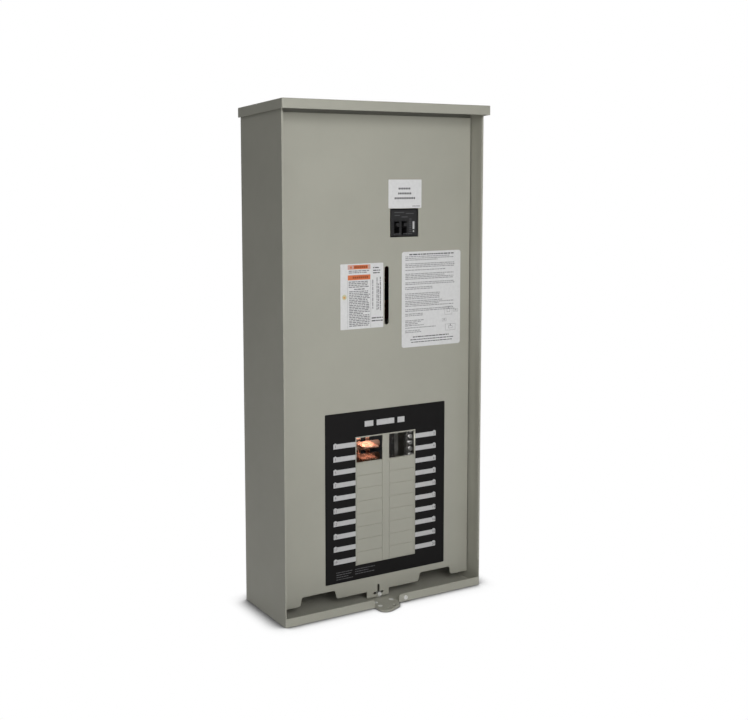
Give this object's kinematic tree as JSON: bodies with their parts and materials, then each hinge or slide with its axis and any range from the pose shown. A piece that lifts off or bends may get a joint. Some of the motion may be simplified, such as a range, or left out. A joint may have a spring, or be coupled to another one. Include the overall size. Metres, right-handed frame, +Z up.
{
  "type": "automatic transfer switch",
  "caption": "Wall-mounted outdoor automatic transfer switch with a built-in load centre, shown with its outer cover off and its dead front in place.",
  "frame": {"origin": "bottom centre of the bounding box of the whole unit", "axes": "+Z up the unit, -Y out of the open front towards the user, +Y into the wall, +X to the user's right"},
  "size_m": [0.456, 0.203, 0.9719],
  "materials": {
    "grey_paint": "satin light grey powder coat",
    "zinc_steel": "zinc plated",
    "bright_steel": "bright nickel",
    "copper": "bare copper",
    "tinned_aluminium": "tin plated",
    "black_moulding": "fine grained phenolic",
    "red_moulding": "moulded polyester",
    "coil_tape": "varnished tape",
    "clear_cover": "clear moulded cover",
    "fuse_glass": "glass tube with metal caps",
    "board_green": "solder resist",
    "component_black": "moulded packages",
    "nylon_white": "nylon",
    "label_black": "printed polyester",
    "label_white": "printed polyester"
  },
  "bodies": {
    "enclosure": {"back_panel": "grey_paint", "left_side_wall": "grey_paint", "right_side_wall": "grey_paint", "roof_hood": "grey_paint", "bottom_pan": "grey_paint", "knockout_blanks": "grey_paint", "padlock_hasp": "grey_paint", "hasp_rivets": "zinc_steel", "top_crossbar": "grey_paint", "tab_bracket": "zinc_steel", "lip_clip_nut": "grey_paint", "lip_screw": "zinc_steel", "equipment_plate": "zinc_steel", "plate_posts": "zinc_steel", "plate_nuts": "zinc_steel", "load_base": "black_moulding", "phase_a_bus": "copper", "phase_b_bus": "copper", "breaker_rails": "zinc_steel", "neutral_bars": "tinned_aluminium", "insulating_posts": "black_moulding", "conductor_lugs": "tinned_aluminium", "ground_bar": "tinned_aluminium", "bar_screws": "zinc_steel", "main_breaker_case": "black_moulding", "main_lug_screws": "zinc_steel", "transfer_base": "red_moulding", "bearing_cheeks": "zinc_steel", "utility_contacts": "copper", "standby_contacts": "copper", "copper_links": "copper", "transfer_coils": "coil_tape", "coil_bracket": "zinc_steel", "limit_switch_cases": "black_moulding", "relay_socket": "black_moulding", "relay_case": "clear_cover", "fuse_block": "black_moulding", "fuses": "fuse_glass", "fuse_clips": "bright_steel", "terminal_strip": "black_moulding", "terminal_screws": "zinc_steel", "control_board": "board_green", "board_posts": "nylon_white", "board_components": "component_black"},
    "dead_front_panel": {"dead_front": "grey_paint", "circuit_label": "label_black", "disconnect_label": "label_white", "operation_label": "label_white", "information_label": "label_white", "dead_front_screw": "zinc_steel"},
    "breaker_handle": {"main_breaker_toggles": "black_moulding"},
    "transfer_carrier": {"crossbar_shaft": "bright_steel", "contact_crossbar": "black_moulding", "moving_contacts": "copper", "manual_lever": "black_moulding", "crank_arm": "bright_steel"},
    "coil_armature": {"solenoid_armature": "bright_steel"},
    "utility_button": {"utility_switch_button": "red_moulding"},
    "standby_button": {"standby_switch_button": "red_moulding"}
  },
  "joints": [
    {"name": "dead_front_lift_off", "type": "slide", "parent": "enclosure", "child": "dead_front_panel", "axis": [0, -1, 0], "range_m": [0, 0.15]},
    {"name": "main_breaker_throw", "type": "hinge", "parent": "enclosure", "child": "breaker_handle", "pos_m": [0.0535, -0.01, 0.734], "axis": [1, 0, 0], "range_deg": [0, 30]},
    {"name": "transfer_throw", "type": "hinge", "parent": "enclosure", "child": "transfer_carrier", "pos_m": [0.04, 0.03, 0.605], "axis": [1, 0, 0], "range_deg": [-24, 0]},
    {"name": "armature_travel", "type": "slide", "parent": "enclosure", "child": "coil_armature", "axis": [0, 0, 1], "range_m": [0, 0.0106]},
    {"name": "utility_switch_press", "type": "slide", "parent": "enclosure", "child": "utility_button", "axis": [0, 1, 0], "range_m": [0, 0.0015], "stiffness_N_per_m": 200, "springref_m": -0.0005},
    {"name": "standby_switch_press", "type": "slide", "parent": "enclosure", "child": "standby_button", "axis": [0, 1, 0], "range_m": [0, 0.0015], "stiffness_N_per_m": 200, "springref_m": -0.0005}
  ],
  "couplings": [
    {"joint": "armature_travel", "follows": "transfer_throw", "m_per_rad": -0.025}
  ]
}
